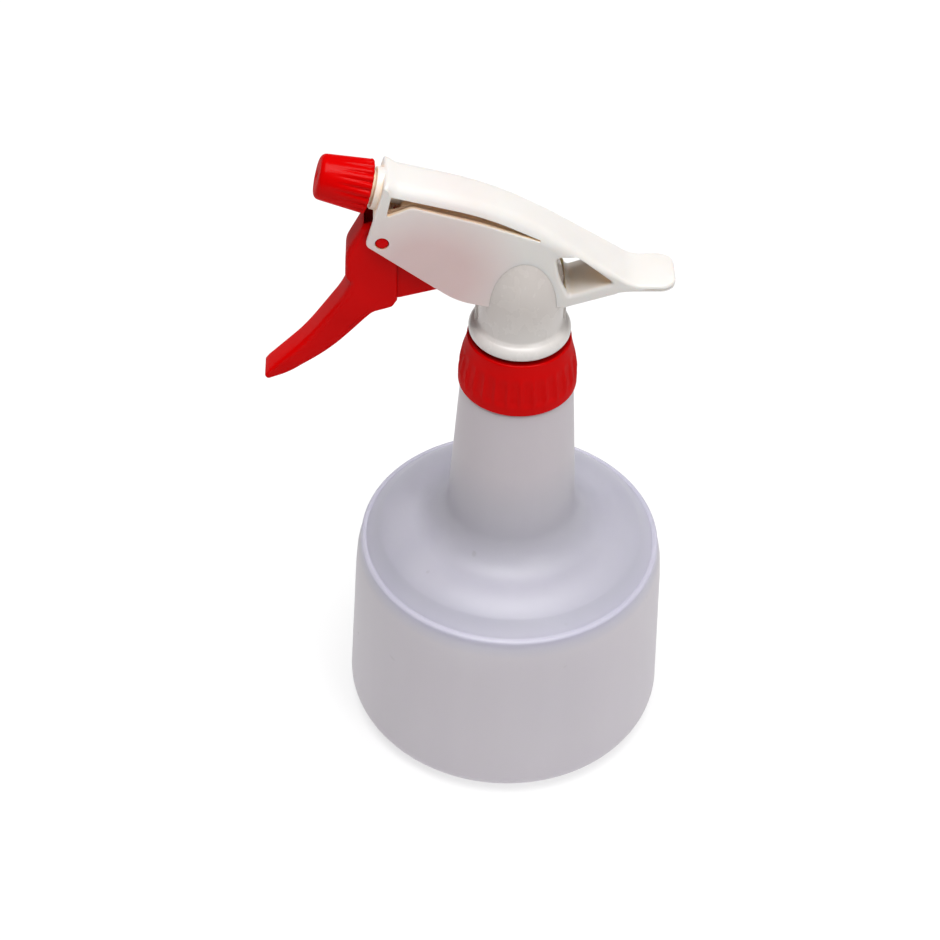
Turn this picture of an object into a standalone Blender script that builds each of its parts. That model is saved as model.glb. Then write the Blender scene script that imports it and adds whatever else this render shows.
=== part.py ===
"""Trigger spray bottle: a squat blow-moulded bottle with a screw collar and a hand-pumped head.

Frame: origin on the bottle's axis at the base plane, +Z up, the nozzle points to -X and the tail
of the head to +X. The object is symmetric about the plane Y = 0.

Lengths in this file are millimetres and angles are degrees. They become metres and radians in the
functions that make meshes, so every object that leaves this script is in metres.
"""
import math

import bmesh
import bpy
from mathutils import Matrix, Vector

MM = 0.001
MERGE = 0.00001          # metres, merge distance of every modifier and weld
OBJECT_NAME = "spray_bottle"

# ---- fits -------------------------------------------------------------------------------------
GAP = 0.3                # clearance between two pieces that meet
WALL = 1.2               # moulded wall of the bottle and of the shroud's side plates

# ---- bottle -----------------------------------------------------------------------------------
BASE_RADIUS = 47.5       # the widest point, just above the base
BASE_CORNER = 7.1
WALL_TOP_RADIUS = 45.4   # the side wall leans in by 2 mm over its height
WALL_TOP_Z = 59.4
BEAD_RADIUS = 44.65      # decorative bead between the wall and the shoulder
BEAD_Z = 61.8
SHOULDER_ROUND = 16.8    # radius of the rounded shoulder
SHOULDER_TOP = (28.8, 70.2)
NECK_FILLET = 10.2
NECK_TOP = (16.0, 123.9)
FINISH_RADIUS = 12.6     # threaded mouth under the collar
MOUTH_RADIUS = 10.8
MOUTH_Z = 136.4
FLOOR_THICKNESS = 2.0
NECK_SHELF_Z = 124.7

# ---- closure ----------------------------------------------------------------------------------
THREAD_PITCH = 25.4 / 6  # six threads to the inch, the usual bottle finish
THREAD_TURNS = 1.5
COLLAR_BOTTOM_Z = NECK_SHELF_Z + GAP
COLLAR_TOP_Z = 141.3
COLLAR_TOP_PLATE = 1.6
COLLAR_RADIUS = 16.65
COLLAR_BORE = 14.3
COLLAR_HOLE = 11.2
COLLAR_FLUTES = 28
COLLAR_FLUTE_DEPTH = 0.55

# ---- pump body --------------------------------------------------------------------------------
BELL_RADIUS = 11.75
BELL_STRAIGHT_Z = 156.0  # the bell is cylindrical up to here and elliptical above
BELL_DOME = 19.6
BELL_WALL = 1.4
RIM_RADIUS = 11.8        # the white rim above the collar is a ring of round section
RIM_ROUND = 2.35
RIM_Z = 144.1
SPIGOT_RADIUS = COLLAR_HOLE - 0.4
FLANGE_RADIUS = 12.3     # retaining flange under the collar's top plate
FLANGE_Z = (138.2, COLLAR_TOP_Z - COLLAR_TOP_PLATE - GAP)
RIB_HEIGHT = 0.7         # ribs up the front and rear of the bell, below the shroud
RIB_HALF = 0.6
RIB_Z = (145.5, 155.8)
COLUMN_RADIUS = 6.3      # inlet column inside the bell
COLUMN_BORE = 4.9
COLUMN_BORE_TOP = 152.0
SKIRT_OPENING = 8.0

# ---- pump -------------------------------------------------------------------------------------
PUMP_Z = 162.0           # height of the horizontal pump axis
CYLINDER_BORE = 4.8
CYLINDER_RADIUS = 5.9
CYLINDER_X = (-16.0, 4.4)
CYLINDER_END = 1.4
SOCKET_WALL = 1.2
PISTON_FRONT_X = -30.5
PISTON_REAR_X = -9.5
PISTON_HEAD_RADIUS = 4.3
SPRING_RADIUS = 3.4
SPRING_WIRE = 0.4
SPRING_TURNS = 6
PORT_RADIUS = 1.2

# ---- nozzle -----------------------------------------------------------------------------------
NOZZLE_TILT = 14.6       # the discharge barrel points up by this angle
NOZZLE_REAR = (-40.3, 191.0)
CAP_LENGTH = 14.8
CAP_REAR_RADIUS = 7.3
CAP_FRONT_RADIUS = 6.1
CAP_FLUTES = 20
CAP_FLUTE_DEPTH = 0.35
BARREL_RADIUS = 3.0
BARREL_BORE = 1.5
BARREL_S = (-30.0, 2.6)  # ends of the barrel, measured along the nozzle's axis
RISER_LOW = (0.8, 166.0)
RISER_TOP_S = -28.6
BASE_RING_RADIUS = 5.7
STUB_RADIUS = 4.4

# ---- shroud -----------------------------------------------------------------------------------
SHROUD_HALF = 7.5        # half its width
SHROUD_EDGE = 2.0        # rounding along the top edges
COVER_THICKNESS = 1.7
CAVITY_HALF = SHROUD_HALF - WALL
SPINE_HALF = 4.2         # half-width of the web that carries the barrel under the cover
TAIL_CORNER = 4.5        # rounding of the tail's end, seen from above

# ---- trigger ----------------------------------------------------------------------------------
PIVOT = (-37.8, 178.1)
PIN_RADIUS = 1.75
TRIGGER_HALF = 4.9
TRIGGER_WALL = 1.4
ARM_Y = (2.9, 3.9)       # the two arms that reach back beside the piston
PUSHER = (-32.6, 162.0)  # cross bar that presses the piston
PUSHER_RADIUS = 1.8

# ---- valves and dip tube ----------------------------------------------------------------------
TUBE_RADIUS = 2.6
TUBE_BORE = 1.7
TUBE_Z = (5.0, 139.7)
BALL_RADIUS = 2.0
BALL_Z = 143.55

TURN_STEPS = 32

parts = None
cutters = None


# ---- scene and materials ----------------------------------------------------------------------
def clear_scene():
    for obj in list(bpy.data.objects):
        bpy.data.objects.remove(obj, do_unlink=True)


def new_collection(name):
    collection = bpy.data.collections.new(name)
    bpy.context.scene.collection.children.link(collection)
    return collection


def plastic(name, color, roughness, metallic=0.0):
    material = bpy.data.materials.new(name)
    material.use_nodes = True
    shader = material.node_tree.nodes["Principled BSDF"]
    shader.inputs["Base Color"].default_value = (*color, 1.0)
    shader.inputs["Roughness"].default_value = roughness
    shader.inputs["Metallic"].default_value = metallic
    return material


def add_object(name, mesh, collection):
    obj = bpy.data.objects.new(name, mesh)
    collection.objects.link(obj)
    return obj


def finish_part(obj, material):
    """Give a sub-part its material and smooth shading with sharp edges kept."""
    obj.data.materials.clear()
    obj.data.materials.append(material)
    obj.data.shade_smooth()
    obj.data.set_sharp_from_angle(angle=math.radians(35))
    return obj


def as_cutter(obj):
    """A helper solid that shapes a part and isn't part of the object itself."""
    parts.objects.unlink(obj)
    cutters.objects.link(obj)
    obj.hide_render = True
    obj.display_type = 'WIRE'
    return obj


def frozen(obj):
    """The object's evaluated mesh in world space, as a plain mesh object of the same name."""
    bpy.context.view_layer.update()
    evaluated = obj.evaluated_get(bpy.context.evaluated_depsgraph_get())
    mesh = bpy.data.meshes.new_from_object(evaluated)
    mesh.transform(obj.matrix_world)
    name = obj.name
    bpy.data.objects.remove(obj, do_unlink=True)
    welder = bmesh.new()
    welder.from_mesh(mesh)
    bmesh.ops.remove_doubles(welder, verts=welder.verts, dist=MERGE)
    bmesh.ops.recalc_face_normals(welder, faces=welder.faces)
    welder.to_mesh(mesh)
    welder.free()
    return add_object(name, mesh, parts)


def boolean(obj, tool, operation):
    modifier = obj.modifiers.new(operation.title() + " " + tool.name, 'BOOLEAN')
    modifier.operation = operation
    modifier.object = tool
    modifier.solver = 'EXACT'


def set_origin(obj, x, z):
    """Move the object's origin to a point of the plane Y = 0 and leave its mesh in place."""
    point = Vector((x, 0.0, z)) * MM
    obj.data.transform(Matrix.Translation(-point))
    obj.location = point


# ---- outlines ---------------------------------------------------------------------------------
def arc(cx, cz, radius, start, end, count):
    """Points of a circular arc from one angle to another, both ends included."""
    angles = [math.radians(start + (end - start) * i / (count - 1)) for i in range(count)]
    return [(cx + radius * math.cos(a), cz + radius * math.sin(a)) for a in angles]


def ellipse(a, b, cz, start, end, count):
    """Points of an ellipse about the turning axis."""
    angles = [math.radians(start + (end - start) * i / (count - 1)) for i in range(count)]
    return [(a * math.cos(t), cz + b * math.sin(t)) for t in angles]


def rounded_outline(corners, per_arc=4):
    """A closed outline from (x, z, radius) corners, each eased by a curve that an arc of that radius
    would span."""
    outline = []
    for i, (x, z, radius) in enumerate(corners):
        here = Vector((x, z))
        before = Vector(corners[i - 1][:2]) - here
        after = Vector(corners[(i + 1) % len(corners)][:2]) - here
        half = before.angle(after) / 2
        if radius == 0 or half > math.radians(89.5):
            outline.append((x, z))
            continue
        reach = min(radius / math.tan(half), 0.49 * before.length, 0.49 * after.length)
        start = here + before.normalized() * reach
        end = here + after.normalized() * reach
        for k in range(per_arc + 1):
            t = k / per_arc
            point = start * (1 - t) ** 2 + here * 2 * t * (1 - t) + end * t ** 2
            outline.append((point.x, point.y))
    return outline


def along_nozzle(s, up=0.0):
    """The (x, z) point at distance s along the nozzle's axis and a distance above it."""
    tilt = math.radians(NOZZLE_TILT)
    return (NOZZLE_REAR[0] - s * math.cos(tilt) + up * math.sin(tilt),
            NOZZLE_REAR[1] + s * math.sin(tilt) + up * math.cos(tilt))


# ---- solids -----------------------------------------------------------------------------------
def turned(name, profile, closed=True, steps=TURN_STEPS):
    """A solid turned about the local Z axis from (radius, height) points."""
    mesh = bpy.data.meshes.new(name)
    points = [(r * MM, 0.0, z * MM) for r, z in profile]
    edges = [(i, i + 1) for i in range(len(points) - 1)]
    if closed:
        edges.append((len(points) - 1, 0))
    mesh.from_pydata(points, edges, [])
    obj = add_object(name, mesh, parts)
    screw = obj.modifiers.new("Turn", 'SCREW')
    screw.axis = 'Z'
    screw.angle = math.tau
    screw.steps = steps
    screw.render_steps = steps
    screw.use_merge_vertices = True
    screw.merge_threshold = MERGE
    return obj


def aim_along_x(obj, z):
    """Lay a solid that was turned about Z along +X at the given height."""
    obj.rotation_euler = (0.0, math.pi / 2, 0.0)
    obj.location = (0.0, 0.0, z * MM)
    return obj


def aim_along_nozzle(obj):
    """Put a solid that was turned about Z on the nozzle's axis, its heights measured forward."""
    obj.rotation_euler = (0.0, -math.radians(90 - NOZZLE_TILT), 0.0)
    obj.location = (NOZZLE_REAR[0] * MM, 0.0, NOZZLE_REAR[1] * MM)
    return obj


def extruded(name, outline, half, axis='Y', place=0.0):
    """An X-Z outline extruded across Y, a Y-Z outline along X or an X-Y outline along Z."""
    curve = bpy.data.curves.new(name, 'CURVE')
    curve.dimensions = '2D'
    curve.fill_mode = 'BOTH'
    curve.extrude = half * MM
    spline = curve.splines.new('POLY')
    spline.points.add(len(outline) - 1)
    for point, (u, v) in zip(spline.points, outline):
        point.co = (u * MM, v * MM, 0.0, 1.0)
    spline.use_cyclic_u = True
    obj = add_object(name, curve, parts)
    if axis == 'Y':
        obj.rotation_euler = (math.pi / 2, 0.0, 0.0)
        obj.location = (0.0, place * MM, 0.0)
    elif axis == 'Z':
        obj.location = (0.0, 0.0, place * MM)
    else:
        obj.rotation_euler = (math.pi / 2, 0.0, math.pi / 2)
        obj.location = (place * MM, 0.0, 0.0)
    return frozen(obj)


def rod(name, start, end, radius, sides=16):
    """A cylinder between two points given as (x, y, z)."""
    a = Vector(start) * MM
    b = Vector(end) * MM
    direction = b - a
    turn = Vector((0, 0, 1)).rotation_difference(direction).to_matrix().to_4x4()
    mesh = bpy.data.meshes.new(name)
    builder = bmesh.new()
    bmesh.ops.create_cone(builder, cap_ends=True, segments=sides, radius1=radius * MM,
                          radius2=radius * MM, depth=direction.length,
                          matrix=Matrix.Translation((a + b) / 2) @ turn)
    builder.to_mesh(mesh)
    builder.free()
    return add_object(name, mesh, parts)


def coil(name, radius, wire, start, rise, turns, per_turn, taper=False):
    """A helical wire about the local Z axis; its ends thin out where taper is set."""
    count = round(turns * per_turn) + 1
    curve = bpy.data.curves.new(name, 'CURVE')
    curve.dimensions = '3D'
    curve.bevel_depth = wire * MM
    curve.bevel_resolution = 2
    curve.use_fill_caps = True
    spline = curve.splines.new('POLY')
    spline.points.add(count - 1)
    for i, point in enumerate(spline.points):
        angle = math.tau * i / per_turn
        height = start + rise * i / (count - 1)
        point.co = (radius * math.cos(angle) * MM, radius * math.sin(angle) * MM, height * MM, 1.0)
        point.radius = 0.5 if taper and i in (0, count - 1) else 1.0
    return add_object(name, curve, parts)


def flute(obj, count, depth, low, high, beyond):
    """Press grooves into a turned solid by moving every second column of its outer points."""
    for vertex in obj.data.vertices:
        x, y, z = vertex.co / MM
        radius = math.hypot(x, y)
        if radius < beyond or not low <= z <= high:
            continue
        column = round(math.degrees(math.atan2(y, x)) / (180 / count))
        if column % 2:
            vertex.co.xy *= (radius - depth) / radius


# ---- sub-parts --------------------------------------------------------------------------------
def bottle_profile():
    """Inner floor, inner wall, mouth and outer wall, from the axis round to the axis."""
    tx, tz = SHOULDER_TOP
    neck_low = (tx - NECK_FILLET, tz + NECK_FILLET)
    dome_z = tz - SHOULDER_ROUND
    inner_corner = BASE_CORNER - WALL
    inside = [(0.0, FLOOR_THICKNESS)]
    inside += arc(BASE_RADIUS - BASE_CORNER, FLOOR_THICKNESS + inner_corner, inner_corner, -90, 0, 4)
    inside.append((WALL_TOP_RADIUS - WALL, WALL_TOP_Z - 0.6))
    inside += arc(tx, dome_z, SHOULDER_ROUND - WALL, 44, 90, 4)
    inside += arc(tx, neck_low[1], NECK_FILLET + WALL, 270, 180, 4)[1:]
    inside += [(NECK_TOP[0] - WALL, NECK_TOP[1] - 1.4), (MOUTH_RADIUS, NECK_SHELF_Z + 0.6)]
    inside += [(MOUTH_RADIUS, MOUTH_Z)]
    outside = [(FINISH_RADIUS - 0.5, MOUTH_Z), (FINISH_RADIUS, MOUTH_Z - 0.5)]
    outside += [(FINISH_RADIUS, NECK_SHELF_Z), (NECK_TOP[0] - 0.7, NECK_SHELF_Z), NECK_TOP]
    outside += arc(tx, neck_low[1], NECK_FILLET, 180, 270, 5)
    outside += arc(tx, dome_z, SHOULDER_ROUND, 90, 54, 4)[1:]
    outside += [(BEAD_RADIUS - 1.3, BEAD_Z + 0.8), (BEAD_RADIUS - 0.5, BEAD_Z + 0.65)]
    outside += [(BEAD_RADIUS, BEAD_Z), (BEAD_RADIUS - 0.1, BEAD_Z - 0.75)]
    outside += [(WALL_TOP_RADIUS - 0.45, WALL_TOP_Z + 1.3)]
    outside += [(WALL_TOP_RADIUS, WALL_TOP_Z)]
    outside += arc(BASE_RADIUS - BASE_CORNER, BASE_CORNER, BASE_CORNER, 0, -90, 6)
    outside += [(33.0, 0.0), (31.8, 0.8), (15.0, 0.8), (13.8, 0.0), (0.0, 0.0)]
    return inside + outside


def make_bottle(material):
    body = turned("bottle", bottle_profile(), closed=False, steps=36)
    start = MOUTH_Z - 2.0 - THREAD_PITCH * 1.1
    thread = frozen(coil("neck_thread", FINISH_RADIUS + 0.15, 0.8, start, THREAD_PITCH * 1.1,
                         1.1, 24, taper=True))
    boolean(body, as_cutter(thread), 'UNION')
    return finish_part(body, material)


def make_screw_collar(material):
    inner_top = COLLAR_TOP_Z - COLLAR_TOP_PLATE
    profile = [(COLLAR_HOLE, COLLAR_TOP_Z), (14.2, COLLAR_TOP_Z), (14.55, COLLAR_TOP_Z - 0.4),
               (15.0, 137.6), (15.95, 132.9), (COLLAR_RADIUS - 0.1, 130.0),
               (COLLAR_RADIUS, 128.2), (COLLAR_RADIUS, COLLAR_BOTTOM_Z + 0.3),
               (COLLAR_RADIUS - 0.3, COLLAR_BOTTOM_Z), (COLLAR_BORE + 0.3, COLLAR_BOTTOM_Z),
               (COLLAR_BORE, COLLAR_BOTTOM_Z + 0.6), (COLLAR_BORE, inner_top),
               (COLLAR_HOLE, inner_top)]
    collar = frozen(turned("screw_collar", profile, steps=2 * COLLAR_FLUTES))
    flute(collar, COLLAR_FLUTES, COLLAR_FLUTE_DEPTH, 129.0, 137.7, COLLAR_BORE + 0.5)
    start = MOUTH_Z - 2.0 - THREAD_PITCH * 1.1 - THREAD_PITCH / 2
    thread = frozen(coil("collar_thread", COLLAR_BORE - 0.2, 0.75, start,
                         THREAD_PITCH * THREAD_TURNS, THREAD_TURNS, 24, taper=True))
    boolean(collar, as_cutter(thread), 'UNION')
    return finish_part(collar, material)


def make_closure_gasket(material):
    low, high = MOUTH_Z + GAP, FLANGE_Z[0] - GAP
    ring = turned("closure_gasket", [(FLANGE_RADIUS, high), (FLANGE_RADIUS, low), (8.8, low),
                                     (8.8, high)], steps=24)
    return finish_part(ring, material)


def bell_outside(extra=0.0):
    return ellipse(BELL_RADIUS + extra, BELL_DOME + extra, BELL_STRAIGHT_Z, 90, 0, 9)


def riser_ends():
    top = along_nozzle(RISER_TOP_S)
    return (RISER_LOW[0], 0.0, RISER_LOW[1]), (top[0], 0.0, top[1])


def make_pump_body(material):
    profile = bell_outside() + [(BELL_RADIUS, 147.0)]
    profile += arc(RIM_RADIUS, RIM_Z, RIM_ROUND, 60, -60, 7)
    profile += [(SPIGOT_RADIUS, 141.7), (SPIGOT_RADIUS, FLANGE_Z[1]), (FLANGE_RADIUS, FLANGE_Z[1]),
                (FLANGE_RADIUS, FLANGE_Z[0]), (0.0, FLANGE_Z[0])]
    body = turned("pump_body", profile, closed=False)

    inner = ellipse(BELL_RADIUS - BELL_WALL, BELL_DOME - BELL_WALL, BELL_STRAIGHT_Z, 90, 0, 7)
    inner += [(BELL_RADIUS - BELL_WALL, 145.0), (SKIRT_OPENING, 142.0), (SKIRT_OPENING, 137.0),
              (0.0, 137.0)]
    hollow = turned("bell_hollow", inner, closed=False, steps=24)
    socket_radius = CYLINDER_RADIUS + GAP
    socket = rod("socket", (-20, 0, PUMP_Z), (CYLINDER_X[1] + GAP + 1.4, 0, PUMP_Z),
                 socket_radius + SOCKET_WALL, sides=20)
    column = rod("column", (0, 0, 136), (0, 0, 157), COLUMN_RADIUS, sides=20)
    low, high = riser_ends()
    riser = rod("riser", low, high, BARREL_RADIUS, sides=14)
    for solid in (socket, column, riser):
        boolean(hollow, as_cutter(solid), 'DIFFERENCE')

    barrel = aim_along_nozzle(turned("barrel", [(0, BARREL_S[1]), (BARREL_RADIUS, BARREL_S[1]),
                                                (BARREL_RADIUS, BARREL_S[0]), (0, BARREL_S[0])],
                                     closed=False, steps=16))
    socket_bore = rod("socket_bore", (-20, 0, PUMP_Z), (CYLINDER_X[1] + GAP, 0, PUMP_Z),
                      socket_radius, sides=24)
    column_bore = rod("column_bore", (0, 0, 137), (0, 0, COLUMN_BORE_TOP), COLUMN_BORE, sides=20)
    port, outlet = make_port_cutters()
    barrel_bore = aim_along_nozzle(turned("barrel_bore", [(0, 5), (BARREL_BORE, 5),
                                                          (BARREL_BORE, RISER_TOP_S),
                                                          (0, RISER_TOP_S)],
                                          closed=False, steps=12))
    boolean(body, as_cutter(hollow), 'DIFFERENCE')
    for side in (-1, 1):
        inside, outside = side * (BELL_RADIUS - 0.7), side * (BELL_RADIUS + RIB_HEIGHT)
        rib = extruded("bell_rib", [(inside, RIB_Z[0]), (outside, RIB_Z[0]), (outside, RIB_Z[1]),
                                    (inside, RIB_Z[1])], RIB_HALF)
        boolean(body, as_cutter(rib), 'UNION')
    boolean(body, riser, 'UNION')
    boolean(body, as_cutter(barrel), 'UNION')
    for tool in (socket_bore, column_bore, port, outlet, barrel_bore):
        boolean(body, as_cutter(tool), 'DIFFERENCE')
    return finish_part(body, material), port, outlet


def make_port_cutters():
    """The drilled ways in and out of the pump: up from the inlet column and up the riser."""
    port = rod("inlet_port", (0, 0, 150), (0, 0, PUMP_Z), PORT_RADIUS, sides=10)
    low, high = riser_ends()
    outlet = rod("outlet_port", (low[0] + 1.1, 0, low[2] - 1.5), high, PORT_RADIUS, sides=10)
    return port, outlet


def make_pump_cylinder(material, port, outlet):
    front, rear = CYLINDER_X
    profile = [(0, rear), (CYLINDER_RADIUS, rear), (CYLINDER_RADIUS, front), (CYLINDER_BORE, front),
               (CYLINDER_BORE, rear - CYLINDER_END), (0, rear - CYLINDER_END)]
    cylinder = aim_along_x(turned("pump_cylinder", profile, closed=False, steps=24), PUMP_Z)
    boolean(cylinder, port, 'DIFFERENCE')
    boolean(cylinder, outlet, 'DIFFERENCE')
    return finish_part(cylinder, material)


def make_piston(material):
    head = PISTON_HEAD_RADIUS
    groove = head - 1.0
    profile = [(0, -7.8), (2.2, -7.8), (2.2, PISTON_REAR_X), (head, PISTON_REAR_X), (head, -10.2),
               (groove, -10.2), (groove, -12.6), (head, -12.6), (head, -13.4), (groove, -13.4),
               (groove, -15.2), (head, -15.2), (head, -15.8), (2.1, -16.4), (2.1, -28.6),
               (2.6, -29.1), (2.6, PISTON_FRONT_X), (0, PISTON_FRONT_X)]
    piston = aim_along_x(turned("piston", profile, closed=False, steps=20), PUMP_Z)
    return finish_part(piston, material)


def make_piston_ring(name, low, high, lip, material):
    """A sealing ring round the piston's head, with a lip that flares towards its rear."""
    outer = CYLINDER_BORE - GAP
    inner = PISTON_HEAD_RADIUS - 1.0 + GAP
    ring = turned(name, [(outer, high), (outer - lip, low), (inner, low), (inner, high)], steps=20)
    return finish_part(aim_along_x(ring, PUMP_Z), material)


def make_return_spring(material):
    start = PISTON_REAR_X + GAP + SPRING_WIRE
    end = CYLINDER_X[1] - CYLINDER_END - GAP - SPRING_WIRE
    spring = coil("return_spring", SPRING_RADIUS, SPRING_WIRE, start, end - start, SPRING_TURNS, 10)
    return finish_part(frozen(aim_along_x(spring, PUMP_Z)), material)


def make_valve_housing(material):
    profile = [(4.6, 149.5), (4.6, 139.0), (3.9, 138.4), (3.9, 131.0), (TUBE_RADIUS + GAP, 131.0),
               (TUBE_RADIUS + GAP, TUBE_Z[1] + GAP), (1.3, TUBE_Z[1] + GAP), (1.3, 141.6),
               (2.7, 143.0), (2.7, 149.5)]
    return finish_part(turned("valve_housing", profile, steps=20), material)


def make_ball_retainer(material):
    profile = [(4.6, 151.5), (4.6, 149.8), (2.3, 149.8), (2.3, 147.2), (1.0, 147.2), (1.0, 151.5)]
    return finish_part(turned("ball_retainer", profile, steps=16), material)


def make_inlet_ball(material):
    mesh = bpy.data.meshes.new("inlet_ball")
    builder = bmesh.new()
    bmesh.ops.create_icosphere(builder, subdivisions=2, radius=BALL_RADIUS * MM)
    builder.to_mesh(mesh)
    builder.free()
    ball = add_object("inlet_ball", mesh, parts)
    ball.location = (0.0, 0.0, BALL_Z * MM)
    return finish_part(ball, material)


def make_dip_tube(material):
    low, high = TUBE_Z
    tube = turned("dip_tube", [(TUBE_RADIUS, high), (TUBE_RADIUS, low), (TUBE_BORE, low),
                               (TUBE_BORE, high)], steps=12)
    slant = extruded("tube_slant", [(-6, 0), (6, 0), (6, low), (-6, low + 4.5)], 6.0)
    boolean(tube, as_cutter(slant), 'DIFFERENCE')
    return finish_part(tube, material)


def make_nozzle_base(material):
    """The stub that the cap turns on, with a ring in front of the shroud and a valve chamber."""
    profile = [(2.6, 8.5), (STUB_RADIUS, 8.5), (STUB_RADIUS, 7.0), (3.7, 7.0), (3.7, 5.4),
               (STUB_RADIUS, 5.4), (STUB_RADIUS, -GAP), (BASE_RING_RADIUS, -GAP),
               (BASE_RING_RADIUS, -1.37), (5.0, -1.37), (5.0, -4.0),
               (BARREL_RADIUS + GAP, -4.0), (BARREL_RADIUS + GAP, 2.9), (1.0, 2.9), (1.0, 3.9),
               (2.6, 3.9)]
    base = aim_along_nozzle(turned("nozzle_base", profile, steps=28))
    return finish_part(base, material)


def make_outlet_valve(material):
    profile = [(0, 5.6), (0.9, 5.6), (0.9, 4.9), (2.2, 4.9), (2.2, 4.2), (0, 4.2)]
    valve = aim_along_nozzle(turned("outlet_valve", profile, closed=False, steps=16))
    return finish_part(valve, material)


def make_nozzle_seal(material):
    ring = turned("nozzle_seal", arc(4.55, 6.2, 0.5, 180, -135, 8), steps=20)
    return finish_part(aim_along_nozzle(ring), material)


def make_spinner(material):
    """The swirl insert: a head with two grooves across its face, on a stem."""
    profile = [(0, 11.6), (3.5, 11.6), (3.5, 8.8), (2.2, 8.8), (2.2, 6.0), (0, 6.0)]
    spinner = aim_along_nozzle(turned("spinner", profile, closed=False, steps=16))
    for turn, size in ((0, (0.8, 9.0, 1.6)), (1, (9.0, 0.8, 1.6))):
        mesh = bpy.data.meshes.new("swirl_groove_%d" % turn)
        builder = bmesh.new()
        bmesh.ops.create_cube(builder, size=1.0)
        bmesh.ops.scale(builder, vec=Vector(size) * MM, verts=builder.verts)
        bmesh.ops.translate(builder, vec=Vector((0, 0, 11.8)) * MM, verts=builder.verts)
        builder.to_mesh(mesh)
        builder.free()
        boolean(spinner, as_cutter(aim_along_nozzle(add_object(mesh.name, mesh, parts))),
                'DIFFERENCE')
    return finish_part(spinner, material)


def make_nozzle_cap(material):
    front, rear = CAP_FRONT_RADIUS, CAP_REAR_RADIUS
    length = CAP_LENGTH
    slope = (rear - front) / (length - 2.0)
    profile = [(1.6, length), (front - 1.1, length), (front, length - 1.0),
               (front + slope * 0.8, length - 1.8), (rear - slope * 0.6, 1.4), (rear, 0.9),
               (rear, 0.3), (rear - 0.3, 0.0), (5.4, 0.0), (5.4, 8.9), (3.9, 9.4), (3.9, 12.0),
               (0.5, 12.0), (0.5, 13.4)]
    cap = frozen(turned("nozzle_cap", profile, steps=2 * CAP_FLUTES))
    flute(cap, CAP_FLUTES, CAP_FLUTE_DEPTH, 1.0, length - 0.9, 5.8)
    return finish_part(aim_along_nozzle(cap), material)


def shroud_outline():
    corners = [(-37.1, 196.6, 1.2), (-4.8, 188.2, 110), (29.5, 163.7, 10), (41.2, 163.7, 1.0),
               (41.2, 161.4, 1.0), (26.5, 161.4, 20), (11.2, 156.2, 0.8), (-9.0, 156.4, 0),
               (-17.8, 158.4, 20), (-42.2, 177.2, 2.0)]
    return rounded_outline(corners)


def round_top_edges(obj):
    """Bevel the long edges along both sides of the shroud's top, from the front to the tail."""
    builder = bmesh.new()
    builder.from_mesh(obj.data)
    chosen = []
    for edge in builder.edges:
        a, b = (v.co / MM for v in edge.verts)
        middle = (a + b) / 2
        along = abs(a.y - b.y) < 0.1 and abs(abs(middle.y) - SHROUD_HALF) < 0.1
        upper = middle.z > 196.4 - 0.53 * (middle.x + 38) and middle.x > -38
        if along and (upper or (middle.x > 25 and middle.z > 163)):
            chosen.append(edge)
    bmesh.ops.bevel(builder, geom=chosen, offset=SHROUD_EDGE * MM, segments=3, profile=0.5,
                    affect='EDGES', clamp_overlap=True)
    builder.to_mesh(obj.data)
    builder.free()


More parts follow.
